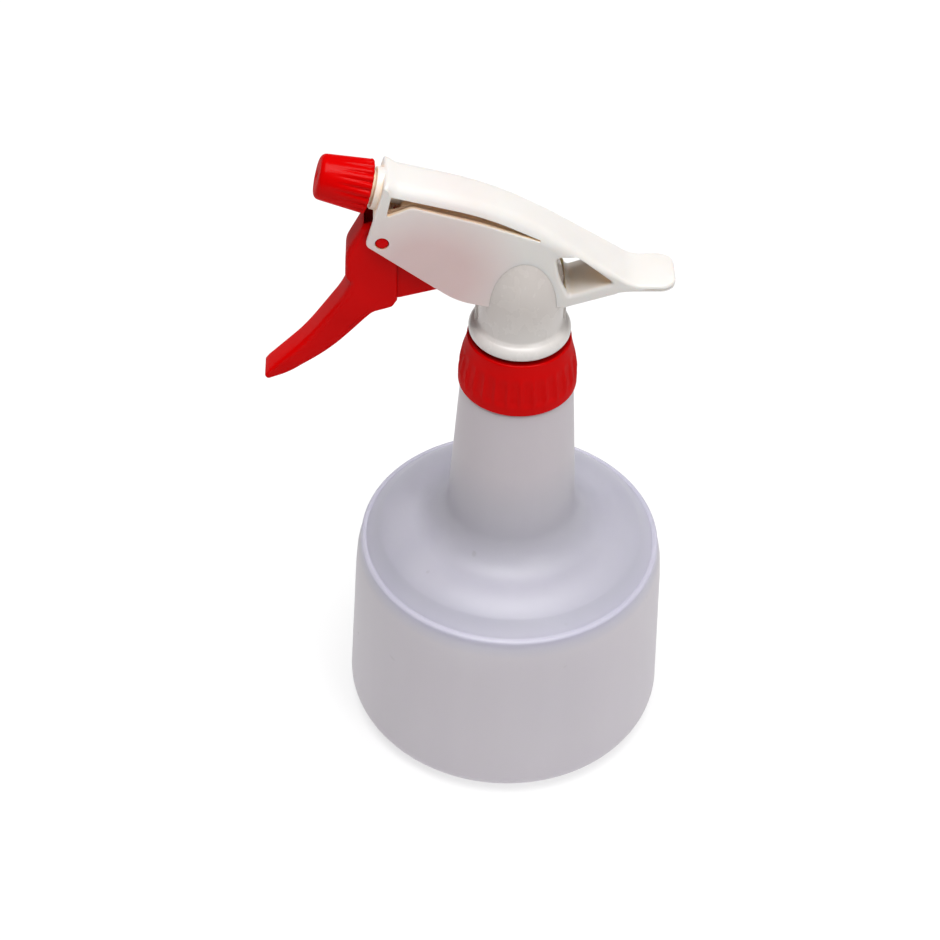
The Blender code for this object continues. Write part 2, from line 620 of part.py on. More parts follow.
def make_shroud(material):
    """Top cover, side plates and tail in one moulding, open below and between its plates."""
    shroud = extruded("shroud", shroud_outline(), SHROUD_HALF)
    round_top_edges(shroud)
    tail_x = max(x for x, _ in shroud_outline())
    plan = extruded("shroud_plan", rounded_outline([
        (-60, -SHROUD_HALF - 1, 0), (20, -SHROUD_HALF - 1, 0), (20, -SHROUD_HALF, 0),
        (tail_x, -SHROUD_HALF, TAIL_CORNER), (tail_x, SHROUD_HALF, TAIL_CORNER),
        (20, SHROUD_HALF, 0), (20, SHROUD_HALF + 1, 0), (-60, SHROUD_HALF + 1, 0)]), 40.0,
        axis='Z', place=177.0)
    boolean(shroud, as_cutter(plan), 'INTERSECT')

    t = COVER_THICKNESS
    cavity = extruded("shroud_cavity", rounded_outline([
        (-35.6, 196.2 - t, 0), (-5.4, 188.2 - t, 110), (15.2, 171.6, 0), (11.0, 160.5, 0),
        (11.0, 140.0, 0), (-60.0, 140.0, 0), (-60.0, 185.2, 0), (-38.0, 185.2, 0)]), CAVITY_HALF)
    slit = extruded("shroud_slit", rounded_outline([
        (-35.6, 193.5, 0.4), (-11.0, 187.1, 80), (4.2, 179.3, 0), (3.8, 178.9, 0),
        (-12.3, 184.9, 60), (-30.0, 190.1, 2), (-37.0, 186.7, 0.4)]), SHROUD_HALF + 3)
    loop = extruded("shroud_loop", rounded_outline([
        (7.9, 172.4, 1.0), (14.6, 172.5, 1.0), (25.0, 164.6, 0.5), (11.9, 159.3, 1.0),
        (9.2, 166.0, 20)]), SHROUD_HALF + 3)
    spine = extruded("barrel_spine", [along_nozzle(-2, -SPINE_HALF), along_nozzle(-2, 8),
                                      along_nozzle(-43, 8), along_nozzle(-43, -SPINE_HALF)],
                     SPINE_HALF)
    boolean(cavity, as_cutter(spine), 'DIFFERENCE')
    bell_space = turned("bell_space", bell_outside(GAP) + [(BELL_RADIUS + GAP, 140.0), (0, 140.0)],
                        closed=False, steps=TURN_STEPS)
    nozzle_hole = aim_along_nozzle(turned("nozzle_hole", [(0, 4), (5.3, 4), (5.3, -8), (0, -8)],
                                          closed=False, steps=24))
    pin_hole = rod("pin_hole", (PIVOT[0], -12, PIVOT[1]), (PIVOT[0], 12, PIVOT[1]),
                   PIN_RADIUS + GAP, sides=16)
    barrel_space = aim_along_nozzle(turned("barrel_space", [
        (0, 0), (BARREL_RADIUS + GAP, 0), (BARREL_RADIUS + GAP, BARREL_S[0] - 1),
        (0, BARREL_S[0] - 1)], closed=False, steps=16))
    low, high = riser_ends()
    riser_space = rod("riser_space", low, high, BARREL_RADIUS + GAP, sides=14)
    boolean(shroud, as_cutter(cavity), 'DIFFERENCE')
    for tool in (slit, loop, bell_space, nozzle_hole, barrel_space, riser_space, pin_hole):
        boolean(shroud, as_cutter(tool), 'DIFFERENCE')
    return finish_part(shroud, material)


def trigger_outline():
    corners = [(-33.6, 182.6, 3.5), (-42.2, 182.6, 4.5), (-47.3, 172.5, 9), (-47.7, 163.9, 1.5),
               (-46.2, 162.3, 1.0), (-49.2, 156.0, 25), (-58.6, 142.2, 70), (-69.2, 130.9, 1.2),
               (-70.4, 129.2, 0.8), (-69.6, 127.9, 0.8), (-63.5, 130.2, 30), (-52.0, 138.7, 60),
               (-40.3, 152.2, 4), (-35.0, 154.4, 1.0), (-33.7, 156.6, 0.8)]
    return rounded_outline(corners)


def taper_outline(inset):
    """Front view of the trigger, as (y, z): its sides draw in towards a round tip."""
    top, low = TRIGGER_HALF - inset, 4.0 - inset
    return rounded_outline([(top, 190, 0), (top, 154, 40), (low, 126.8 + inset, 3.0),
                            (-low, 126.8 + inset, 3.0), (-top, 154, 40), (-top, 190, 0)])


def make_trigger(material):
    """A finger lever of channel section with pivot pins, two arms and the pusher bar."""
    trigger = extruded("trigger", trigger_outline(), TRIGGER_HALF + 1)
    outer_taper = extruded("trigger_taper", taper_outline(0.0), 40.0, axis='X', place=-50.0)
    boolean(trigger, as_cutter(outer_taper), 'INTERSECT')

    channel = extruded("trigger_channel", rounded_outline([
        (-30.0, 186.0, 0), (-41.0, 186.0, 0), (-45.8, 171.5, 9), (-45.0, 161.8, 1.5),
        (-48.0, 155.0, 30), (-60.5, 137.0, 0), (-54.0, 130.0, 0), (-30.0, 150.0, 0)]), 8.0)
    inner_taper = extruded("channel_taper", taper_outline(TRIGGER_WALL), 60.0, axis='X',
                           place=-50.0)
    boolean(channel, as_cutter(inner_taper), 'INTERSECT')
    boolean(trigger, as_cutter(channel), 'DIFFERENCE')

    arm_outline = rounded_outline([(-38.5, 156.6, 0), (-33.0, 157.2, 0), (-22.6, 160.1, 0.5),
                                   (-21.9, 161.5, 0.6), (-24.5, 164.8, 2), (-33.2, 171.2, 2),
                                   (-38.5, 172.0, 0)])
    middle, half = (ARM_Y[0] + ARM_Y[1]) / 2, (ARM_Y[1] - ARM_Y[0]) / 2
    for side, sign in (("left", -1), ("right", 1)):
        boolean(trigger, as_cutter(extruded("arm_" + side, arm_outline, half,
                                            place=sign * middle)), 'UNION')
        pin = rod("pin_" + side, (PIVOT[0], sign * (TRIGGER_HALF - 0.7), PIVOT[1]),
                  (PIVOT[0], sign * (SHROUD_HALF + 0.3), PIVOT[1]), PIN_RADIUS)
        boolean(trigger, as_cutter(pin), 'UNION')
    bar = rod("pusher_bar", (PUSHER[0], -middle, PUSHER[1]), (PUSHER[0], middle, PUSHER[1]),
              PUSHER_RADIUS, sides=20)
    boolean(trigger, as_cutter(bar), 'UNION')
    set_origin(trigger, *PIVOT)
    return finish_part(trigger, material)


# ---- the whole object -------------------------------------------------------------------------
def build():
    global parts, cutters
    clear_scene()
    parts = new_collection(OBJECT_NAME)
    cutters = new_collection("cutters")

    natural = plastic("natural_polyethylene", (0.62, 0.60, 0.66), 0.35)
    red = plastic("red_polypropylene", (0.60, 0.005, 0.008), 0.30)
    cream = plastic("cream_polypropylene", (0.83, 0.80, 0.75), 0.32)
    white = plastic("white_polypropylene", (0.70, 0.70, 0.68), 0.34)
    clear = plastic("clear_polyethylene", (0.75, 0.77, 0.78), 0.25)
    rubber = plastic("grey_elastomer", (0.30, 0.30, 0.31), 0.60)
    steel = plastic("stainless_steel", (0.60, 0.60, 0.61), 0.25, 1.0)

    make_bottle(natural)
    make_screw_collar(red)
    make_closure_gasket(rubber)
    _, port, outlet = make_pump_body(white)
    make_pump_cylinder(white, port, outlet)
    make_piston(clear)
    make_piston_ring("piston_cup", -12.3, -10.5, 0.4, rubber)
    make_piston_ring("vent_seal", -14.9, -13.7, 0.0, rubber)
    make_return_spring(steel)
    make_valve_housing(clear)
    make_ball_retainer(clear)
    make_inlet_ball(steel)
    make_dip_tube(clear)
    make_nozzle_base(white)
    make_outlet_valve(rubber)
    make_nozzle_seal(rubber)
    make_spinner(white)
    make_nozzle_cap(red)
    make_shroud(cream)
    make_trigger(red)


build()
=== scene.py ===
"""Looks of the trigger spray bottle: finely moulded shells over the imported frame, their plastics,
the camera, the floor and the lights.

Lengths in this file are millimetres and angles are degrees unless a name says otherwise; meshes
become metres when they are made. The origin is on the bottle's axis at its base, +Z is up, and the
nozzle points to -X.
"""
import math

import bmesh
import bpy
from mathutils import Matrix, Vector


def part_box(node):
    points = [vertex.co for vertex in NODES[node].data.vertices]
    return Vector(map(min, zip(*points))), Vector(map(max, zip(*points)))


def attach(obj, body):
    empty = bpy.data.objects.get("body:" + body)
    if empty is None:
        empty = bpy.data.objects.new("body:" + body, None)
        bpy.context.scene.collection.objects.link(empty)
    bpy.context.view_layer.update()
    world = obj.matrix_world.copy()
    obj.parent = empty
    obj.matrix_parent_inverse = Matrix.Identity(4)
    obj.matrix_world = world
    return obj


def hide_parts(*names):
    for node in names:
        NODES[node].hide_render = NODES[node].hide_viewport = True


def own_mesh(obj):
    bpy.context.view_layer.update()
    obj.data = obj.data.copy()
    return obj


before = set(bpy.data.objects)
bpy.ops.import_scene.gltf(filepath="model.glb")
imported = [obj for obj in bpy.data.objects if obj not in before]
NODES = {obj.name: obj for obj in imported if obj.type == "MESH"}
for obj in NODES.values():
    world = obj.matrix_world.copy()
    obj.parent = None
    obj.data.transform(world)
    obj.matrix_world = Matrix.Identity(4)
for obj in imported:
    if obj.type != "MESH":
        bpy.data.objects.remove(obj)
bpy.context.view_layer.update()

MM = 0.001


def node_box(name):
    """A CAD node's box in millimetres."""
    low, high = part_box(name)
    return low / MM, high / MM


# ---- driving sizes, read from the frame ----------------------------------------------------------
BOTTLE_LOW, BOTTLE_HIGH = node_box("bottle")
COLLAR_LOW, COLLAR_HIGH = node_box("screw_collar")
SHROUD_LOW, SHROUD_HIGH = node_box("shroud")
TUBE_LOW, TUBE_HIGH = node_box("dip_tube")

BASE_RADIUS = BOTTLE_HIGH.x
MOUTH_Z = BOTTLE_HIGH.z
COLLAR_RADIUS = COLLAR_HIGH.x
COLLAR_BOTTOM_Z, COLLAR_TOP_Z = COLLAR_LOW.z, COLLAR_HIGH.z
SHROUD_HALF = SHROUD_HIGH.y

# ---- bottle ---------------------------------------------------------------------------------------
WALL = 1.2
BASE_CORNER = 7.1
WALL_TOP = (45.4, 59.4)          # radius and height where the side wall ends
BEAD = (44.2, 62.3)             # the raised ring between the wall and the shoulder
SHOULDER_CENTRE = (28.8, 53.4)
SHOULDER_ROUND = 16.8
NECK_FILLET = 10.2
NECK_LOW = (18.6, 80.4)
NECK_TOP = (16.0, 123.9)
NECK_SHELF_Z = 124.7
FINISH_RADIUS = 12.6
MOUTH_RADIUS = 10.8
FLOOR_THICKNESS = 2.0
THREAD_PITCH = 25.4 / 6

# ---- closure and pump body ------------------------------------------------------------------------
COLLAR_BORE = 14.3
COLLAR_HOLE = 11.2
COLLAR_PLATE = 1.6
COLLAR_FLUTES = 28
COLLAR_FLUTE_DEPTH = 0.55
FLUTE_LOW, FLUTE_HIGH = 128.2, 137.9
BELL_RADIUS = 11.75
BELL_STRAIGHT_Z = 156.0
BELL_DOME = 19.6
RIM_RADIUS, RIM_ROUND, RIM_Z = 11.8, 2.35, 144.1
PUMP_Z = 162.0
SPRING_X = (-8.95, 2.45)         # centres of the return spring's end turns
SPRING_RADIUS = 3.4
SPRING_WIRE = 0.4
SPRING_TURNS = 6

# ---- nozzle ---------------------------------------------------------------------------------------
NOZZLE_TILT = math.radians(14.6)
NOZZLE_REAR = (-40.3, 191.0)
CAP_LENGTH = 14.8
CAP_REAR_RADIUS, CAP_FRONT_RADIUS = 7.3, 6.1
CAP_FLUTES = 20
CAP_FLUTE_DEPTH = 0.45
CAP_REAR = 0.9                   # the cap stops this far in front of its collar ring
CAP_FLUTE_END = 11.2             # where the grooves run out, measured forward from the cap's rear

# ---- shroud and trigger ---------------------------------------------------------------------------
COVER_THICKNESS = 1.7
COVER_ROUND = 4.2                # rounding along the cover's top edges
CAVITY_HALF = SHROUD_HALF - WALL
PIVOT = (-37.8, 178.1)
PIN_RADIUS = 1.75
SPINE_HALF = 4.2                 # half-width of the web that carries the barrel
TAIL_CORNER = 4.5
TRIGGER_HALF = 4.9
TRIGGER_TIP_HALF = 4.0
TRIGGER_WALL = 1.4
ARM_MIDDLE = 3.4                 # the two arms that press the piston, off the middle plane

AROUND = 168                     # columns round the turned pieces

# ---- small helpers --------------------------------------------------------------------------------
scene = bpy.context.scene


def link(name, data):
    obj = bpy.data.objects.new(name, data)
    scene.collection.objects.link(obj)
    return obj


def arc(cx, cz, radius, start, end, count):
    """Points of a circular arc from one angle to another, both ends included."""
    angles = [math.radians(start + (end - start) * i / (count - 1)) for i in range(count)]
    return [(cx + radius * math.cos(a), cz + radius * math.sin(a)) for a in angles]


def eased(corners, per_corner=8, closed=True):
    """An outline from (x, z, radius) corners, each eased by a smooth curve."""
    outline = []
    for i, (x, z, radius) in enumerate(corners):
        here = Vector((x, z))
        before = Vector(corners[i - 1][:2]) - here
        after = Vector(corners[(i + 1) % len(corners)][:2]) - here
        at_end = not closed and i in (0, len(corners) - 1)
        if radius == 0 or at_end or before.angle(after) > math.radians(179):
            outline.append((x, z))
            continue
        half = before.angle(after) / 2
        reach = min(radius / math.tan(half), 0.49 * before.length, 0.49 * after.length)
        start = here + before.normalized() * reach
        end = here + after.normalized() * reach
        for k in range(per_corner + 1):
            t = k / per_corner
            point = start * (1 - t) ** 2 + here * 2 * t * (1 - t) + end * t ** 2
            outline.append((point.x, point.y))
    return outline


def along_nozzle(s, up=0.0):
    """The (x, z) point at distance s along the nozzle's axis and a distance above it."""
    return (NOZZLE_REAR[0] - s * math.cos(NOZZLE_TILT) + up * math.sin(NOZZLE_TILT),
            NOZZLE_REAR[1] + s * math.sin(NOZZLE_TILT) + up * math.cos(NOZZLE_TILT))


def nozzle_frame():
    """Takes a solid turned about Z onto the nozzle's axis, its heights measured forward."""
    place = Matrix.Translation((NOZZLE_REAR[0] * MM, 0.0, NOZZLE_REAR[1] * MM))
    return place @ Matrix.Rotation(NOZZLE_TILT - math.pi / 2, 4, 'Y')


def lathe(name, profile, around=AROUND, shift=None, closed=False):
    """A solid turned about Z from (radius, height) points. shift(angle, radius, height) may
    return another radius for a point; a point on the axis becomes one pole vertex."""
    builder = bmesh.new()
    rings = []
    for r, z in profile:
        if r < 1e-6:
            rings.append([builder.verts.new((0.0, 0.0, z * MM))])
            continue
        ring = []
        for i in range(around):
            angle = math.tau * i / around
            radius = shift(angle, r, z) if shift else r
            ring.append(builder.verts.new((radius * math.cos(angle) * MM,
                                           radius * math.sin(angle) * MM, z * MM)))
        rings.append(ring)
    pairs = list(zip(rings, rings[1:]))
    if closed:
        pairs.append((rings[-1], rings[0]))
    for a, b in pairs:
        for i in range(around):
            j = (i + 1) % around
            if len(a) == 1 and len(b) == 1:
                break
            if len(a) == 1:
                builder.faces.new((a[0], b[i], b[j]))
            elif len(b) == 1:
                builder.faces.new((a[i], b[0], a[j]))
            else:
                builder.faces.new((a[i], b[i], b[j], a[j]))
    bmesh.ops.recalc_face_normals(builder, faces=builder.faces)
    mesh = bpy.data.meshes.new(name)
    builder.to_mesh(mesh)
    builder.free()
    return link(name, mesh)


def slab(name, outline, half, axis='Y', place=0.0):
    """An (x, z) outline extruded across Y, a (y, z) one along X or an (x, y) one along Z."""
    builder = bmesh.new()
    sides = []
    for offset in (place - half, place + half):
        order = {'X': lambda u, v: (offset, u, v), 'Y': lambda u, v: (u, offset, v),
                 'Z': lambda u, v: (u, v, offset)}[axis]
        points = [order(u, v) for u, v in outline]
        sides.append([builder.verts.new(Vector(p) * MM) for p in points])
    builder.faces.new(sides[0])
    builder.faces.new(list(reversed(sides[1])))
    count = len(outline)
    for i in range(count):
        j = (i + 1) % count
        builder.faces.new((sides[0][i], sides[1][i], sides[1][j], sides[0][j]))
    bmesh.ops.recalc_face_normals(builder, faces=builder.faces)
    mesh = bpy.data.meshes.new(name)
    builder.to_mesh(mesh)
    builder.free()
    return link(name, mesh)


def spaced(outline, longest):
    """The closed outline with its long straight edges divided."""
    points = []
    for i, a in enumerate(outline):
        b = outline[(i + 1) % len(outline)]
        count = max(1, math.ceil(math.dist(a, b) / longest))
        points += [(a[0] + (b[0] - a[0]) * k / count, a[1] + (b[1] - a[1]) * k / count)
                   for k in range(count)]
    return points


def outward(outline):
    """The outward direction at each point of a closed outline."""
    count = len(outline)
    area = sum(outline[i - 1][0] * outline[i][1] - outline[i][0] * outline[i - 1][1]
               for i in range(count))
    turn = 1 if area > 0 else -1
    directions = []
    for i in range(count):
        before, here, after = (Vector(outline[k % count]) for k in (i - 1, i, i + 1))
        along = (here - before).normalized() + (after - here).normalized()
        along.normalize()
        directions.append(Vector((along.y, -along.x)) * turn)
    return directions


def rounded_slab(name, outline, half, rounding, beyond=0.0, steps=8):
    """An (x, z) outline extruded across Y whose rims are quarter rounds. rounding gives the
    radius at a point, negative where the rim flares outward, as a hole's cutter does."""
    builder = bmesh.new()
    directions = outward(outline)
    radii = [rounding(*point) for point in outline]
    rings = []
    levels = [90.0 * k / steps for k in range(steps + 1)]
    for side in (-1, 1):
        order = levels if side < 0 else levels[::-1]
        if beyond and side < 0:
            order = [None] + order
        if beyond and side > 0:
            order = order + [None]
        for level in order:
            ring = []
            for (x, z), direction, radius in zip(outline, directions, radii):
                depth = abs(radius)
                swing = math.radians(level or 0.0)
                inset = radius * (1 - math.sin(swing))
                y = half - depth * (1 - math.cos(swing)) + (beyond if level is None else 0.0)
                place = Vector((x - direction.x * inset, side * y, z - direction.y * inset))
                ring.append(builder.verts.new(place * MM))
            rings.append(ring)
    count = len(outline)
    for low, high in zip(rings, rings[1:]):
        for i in range(count):
            j = (i + 1) % count
            builder.faces.new((low[i], high[i], high[j], low[j]))
    builder.faces.new(rings[0])
    builder.faces.new(list(reversed(rings[-1])))
    bmesh.ops.recalc_face_normals(builder, faces=builder.faces)
    mesh = bpy.data.meshes.new(name)
    builder.to_mesh(mesh)
    builder.free()
    return link(name, mesh)


def narrow(obj, share_at):
    """Scale a finished piece across its middle plane by share_at(x)."""
    for vertex in obj.data.vertices:
        vertex.co.y *= share_at(vertex.co.x / MM)
    return obj


def rod(name, start, end, radius, sides=48):
    """A cylinder between two points given as (x, y, z)."""
    a, b = Vector(start) * MM, Vector(end) * MM
    turn = Vector((0, 0, 1)).rotation_difference(b - a).to_matrix().to_4x4()
    builder = bmesh.new()
    bmesh.ops.create_cone(builder, cap_ends=True, segments=sides, radius1=radius * MM,
                          radius2=radius * MM, depth=(b - a).length,
                          matrix=Matrix.Translation((a + b) / 2) @ turn)
    mesh = bpy.data.meshes.new(name)
    builder.to_mesh(mesh)
    builder.free()
    return link(name, mesh)


def thread(name, radius, start, rise, turns, depth, width, per_turn=72):
    """A helical ridge of trapezoid section whose ends sink into the wall."""
    builder = bmesh.new()
    count = round(turns * per_turn) + 1
    rings = []
    for i in range(count):
        angle = math.tau * i / per_turn
        height = start + rise * i / (count - 1)
        fade = min(1.0, i / 8, (count - 1 - i) / 8)
        tip = radius + depth * (2 * fade - 1)
        root = radius - abs(depth) if depth > 0 else radius + abs(depth)
        section = ((root, -width), (tip, -width * 0.45), (tip, width * 0.45), (root, width))
        rings.append([builder.verts.new((r * math.cos(angle) * MM, r * math.sin(angle) * MM,
                                         (height + h) * MM)) for r, h in section])
    for a, b in zip(rings, rings[1:]):
        for k in range(4):
            builder.faces.new((a[k], b[k], b[(k + 1) % 4], a[(k + 1) % 4]))
    builder.faces.new(rings[0])
    builder.faces.new(list(reversed(rings[-1])))
    bmesh.ops.recalc_face_normals(builder, faces=builder.faces)
    mesh = bpy.data.meshes.new(name)
    builder.to_mesh(mesh)
    builder.free()
    return link(name, mesh)


def bake_modifiers(obj):
    """Replace the object's mesh by its evaluated mesh, without modifiers."""
    bpy.context.view_layer.update()
    evaluated = obj.evaluated_get(bpy.context.evaluated_depsgraph_get())
    mesh = bpy.data.meshes.new_from_object(evaluated)
    obj.modifiers.clear()
    old = obj.data
    obj.data = mesh
    bpy.data.meshes.remove(old)
    return obj


def combine(obj, tools, operation):
    """Apply exact booleans one after another and delete the tools."""
    for tool in tools:
        modifier = obj.modifiers.new(tool.name, 'BOOLEAN')
        modifier.operation = operation
        modifier.object = tool
        modifier.solver = 'EXACT'
    bake_modifiers(obj)
    for tool in tools:
        bpy.data.objects.remove(tool, do_unlink=True)
    return obj


def weld(obj, distance=0.004):
    builder = bmesh.new()
    builder.from_mesh(obj.data)
    bmesh.ops.remove_doubles(builder, verts=builder.verts, dist=distance * MM)
    bmesh.ops.dissolve_degenerate(builder, edges=builder.edges, dist=distance * MM)
    bmesh.ops.recalc_face_normals(builder, faces=builder.faces)
    builder.to_mesh(obj.data)
    builder.free()
    return obj


def soften(obj, width, angle=30, segments=3):
    """Round every edge sharper than the angle."""
    modifier = obj.modifiers.new("Rounded edges", 'BEVEL')
    modifier.width = width * MM
    modifier.segments = segments
    modifier.limit_method = 'ANGLE'
    modifier.angle_limit = math.radians(angle)
    modifier.miter_outer = 'MITER_ARC'
    modifier.use_clamp_overlap = True
    return weld(bake_modifiers(obj))


def piece(obj, body, material, replaces=(), sharp=40):
    """Give a piece its finish and shading, and tie it to its body."""
    obj.data.materials.clear()
    obj.data.materials.append(material)
    obj.data.shade_smooth()
    obj.data.set_sharp_from_angle(angle=math.radians(sharp))
    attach(obj, body)
    if replaces:
        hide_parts(*replaces)
    return obj


# ---- materials ------------------------------------------------------------------------------------
class Nodes:
    """A small writer of node trees."""

    def __init__(self, name):
        self.material = bpy.data.materials.new(name)
        self.material.use_nodes = True
        self.tree = self.material.node_tree
        self.shader = self.tree.nodes["Principled BSDF"]
        coordinates = self.tree.nodes.new('ShaderNodeTexCoord')
        self.place = coordinates.outputs["Object"]

    def noise(self, scale, detail=3.0, roughness=0.5, place=None, distortion=0.0):
        node = self.tree.nodes.new('ShaderNodeTexNoise')
        node.inputs["Scale"].default_value = scale
        node.inputs["Detail"].default_value = detail
        node.inputs["Roughness"].default_value = roughness
        node.inputs["Distortion"].default_value = distortion
        self.tree.links.new(place or self.place, node.inputs["Vector"])
        return node.outputs["Fac"]

    def stretched(self, x, y, z):
        node = self.tree.nodes.new('ShaderNodeMapping')
        node.inputs["Scale"].default_value = (x, y, z)
        self.tree.links.new(self.place, node.inputs["Vector"])
        return node.outputs["Vector"]

    def ramp(self, value, stops):
        node = self.tree.nodes.new('ShaderNodeValToRGB')
        while len(node.color_ramp.elements) < len(stops):
            node.color_ramp.elements.new(0.5)
        for element, (position, color) in zip(node.color_ramp.elements, stops):
            element.position = position
            element.color = (*color, 1.0) if len(color) == 3 else color
        self.tree.links.new(value, node.inputs["Fac"])
        return node.outputs["Color"]

    def spread(self, value, low, high, from_low=0.3, from_high=0.7):
        node = self.tree.nodes.new('ShaderNodeMapRange')
        node.inputs["From Min"].default_value = from_low
        node.inputs["From Max"].default_value = from_high
        node.inputs["To Min"].default_value = low
        node.inputs["To Max"].default_value = high
        self.tree.links.new(value, node.inputs["Value"])
        return node.outputs["Result"]

    def mix(self, factor, a, b, blend='MIX'):
        node = self.tree.nodes.new('ShaderNodeMix')
        node.data_type = 'RGBA'
        node.blend_type = blend
        for socket, value in ((node.inputs[0], factor), (node.inputs[6], a), (node.inputs[7], b)):
            if isinstance(value, bpy.types.NodeSocket):
                self.tree.links.new(value, socket)
            else:
                socket.default_value = value if isinstance(value, float) else (*value, 1.0)
        return node.outputs[2]

    def add(self, a, b, weight=1.0):
        node = self.tree.nodes.new('ShaderNodeMath')
        node.operation = 'MULTIPLY_ADD'
        self.tree.links.new(b, node.inputs[0])
        node.inputs[1].default_value = weight
        self.tree.links.new(a, node.inputs[2])
        return node.outputs[0]

    def occlusion(self, distance, low, high):
        """0 in a hollow that is this deep, 1 on an open surface."""
        node = self.tree.nodes.new('ShaderNodeAmbientOcclusion')
        node.samples = 8
        node.inputs["Distance"].default_value = distance
        return self.spread(node.outputs["AO"], 0.0, 1.0, low, high)

    def near(self, point, full, none):
        """1 within one distance of a point of the piece, 0 beyond the other; in metres."""
        node = self.tree.nodes.new('ShaderNodeVectorMath')
        node.operation = 'DISTANCE'
        node.inputs[1].default_value = point
        self.tree.links.new(self.place, node.inputs[0])
        return self.spread(node.outputs["Value"], 1.0, 0.0, full, none)

    def height(self):
        node = self.tree.nodes.new('ShaderNodeSeparateXYZ')
        self.tree.links.new(self.place, node.inputs["Vector"])
        return node.outputs["Z"]

    def bump(self, height, strength, distance):
        node = self.tree.nodes.new('ShaderNodeBump')
        node.inputs["Strength"].default_value = strength
        node.inputs["Distance"].default_value = distance
        self.tree.links.new(height, node.inputs["Height"])
        self.tree.links.new(node.outputs["Normal"], self.shader.inputs["Normal"])

    def to(self, socket, value):
        self.tree.links.new(value, self.shader.inputs[socket])

    def set(self, **values):
        for name, value in values.items():
            self.shader.inputs[name.replace("_", " ")].default_value = value
        return self.material


def moulded(name, light, dark, roughness, mottle=60.0, grain=2600.0, relief=0.00002,
            subsurface=0.0, radius=(1.0, 1.0, 1.0), scale=0.002, specular=0.5, hollow=None,
            coat=0.0, painted_shade_patch=None):
    """Injection-moulded plastic: faint flow clouding, uneven gloss, a fine moulded grain and a few
    scuffs that are rougher than the rest. hollow is a colour painted into deep hollows: painted
    shade, and where it is warmer than the plastic, a painted glow of light that passed through it;
    the last argument is a place and a colour that is multiplied in around that place as painted shade."""
    nodes = Nodes(name)
    flow = nodes.noise(mottle, detail=4.0, distortion=0.6)
    scuffs = nodes.noise(400.0, detail=2.0, place=nodes.stretched(1.0, 0.35, 0.6))
    colour = nodes.ramp(flow, [(0.3, dark), (0.7, light)])
    # Painted shade: deep hollows, found by occlusion, take the hollow colour, which is a painted glow
    # where it is warmer than the plastic.
    if hollow:
        colour = nodes.mix(nodes.occlusion(0.009, 0.35, 0.8), hollow, colour)
    # Painted shade: the patch's colour is multiplied in around its point, fully within 13 mm and
    # fading out by 28 mm.
    if painted_shade_patch:
        colour = nodes.mix(nodes.near(painted_shade_patch[0], 0.013, 0.028), colour, painted_shade_patch[1], 'MULTIPLY')
    nodes.to("Base Color", colour)
    gloss = nodes.spread(flow, roughness * 0.9, roughness * 1.12)
    nodes.to("Roughness", nodes.add(gloss, nodes.spread(scuffs, 0.0, 0.04, 0.3, 0.8)))
    nodes.bump(nodes.add(nodes.noise(grain, detail=0.0), nodes.noise(160.0, detail=0.0), 1.5),
               0.3, relief)
    return nodes.set(IOR=1.49, Subsurface_Weight=subsurface, Subsurface_Radius=radius,
                     Subsurface_Scale=scale, Specular_IOR_Level=specular,
                     Coat_Weight=coat, Coat_Roughness=0.18)


def natural_bottle():
    """Unpigmented polyethylene: milky, a little lilac, cloudier where the parison was thicker."""
    nodes = Nodes("natural_polyethylene")
    height = nodes.height()
    clouds = nodes.noise(26.0, detail=4.0, distortion=0.8)
    streaks = nodes.noise(60.0, detail=3.0, place=nodes.stretched(1.0, 1.0, 0.12))
    # Colour by height: lighter at the base as painted light, a darker band just above the bead as
    # painted shade, and a darker, more lilac shoulder and neck that are partly the plastic's tint and
    # partly painted shade.
    tint_and_painted_light_by_height = nodes.ramp(nodes.spread(height, 0.0, 1.0, 0.0, 0.125), [
        (0.0, (0.64, 0.60, 0.65)), (0.05, (0.585, 0.54, 0.59)), (0.46, (0.585, 0.54, 0.59)),
        (0.495, (0.47, 0.46, 0.56)), (0.53, (0.40, 0.395, 0.475)), (0.60, (0.43, 0.42, 0.485)),
        (0.72, (0.48, 0.455, 0.50)), (0.82, (0.56, 0.505, 0.54)), (1.0, (0.575, 0.515, 0.545))])
    clouded = nodes.mix(nodes.spread(clouds, 0.0, 0.25), tint_and_painted_light_by_height, (0.60, 0.58, 0.64))
    drawn = nodes.mix(nodes.spread(streaks, 0.0, 0.12), clouded, (0.42, 0.39, 0.44))
    specks = nodes.noise(300.0, detail=0.0)
    nodes.to("Base Color", nodes.mix(nodes.spread(specks, 0.0, 0.3, 0.83, 0.9), drawn,
                                     (0.30, 0.27, 0.28)))
    nodes.to("Roughness", nodes.spread(clouds, 0.38, 0.46))
    nodes.bump(nodes.add(nodes.noise(1500.0, detail=0.0), nodes.noise(45.0, detail=0.0), 6.0),
               0.2, 0.00004)
    return nodes.set(IOR=1.51, Subsurface_Weight=0.35, Subsurface_Radius=(1.0, 0.9, 1.1),
                     Subsurface_Scale=0.005, Specular_IOR_Level=0.4)


def steel():
    nodes = Nodes("spring_steel")
    drawn = nodes.noise(3000.0, detail=3.0, place=nodes.stretched(1.0, 1.0, 0.2))
    nodes.to("Base Color", nodes.ramp(drawn, [(0.3, (0.42, 0.42, 0.43)), (0.7, (0.62, 0.62, 0.63))]))
    nodes.to("Roughness", nodes.spread(drawn, 0.18, 0.32))
    nodes.bump(drawn, 0.2, 0.00001)
    return nodes.set(Metallic=1.0)


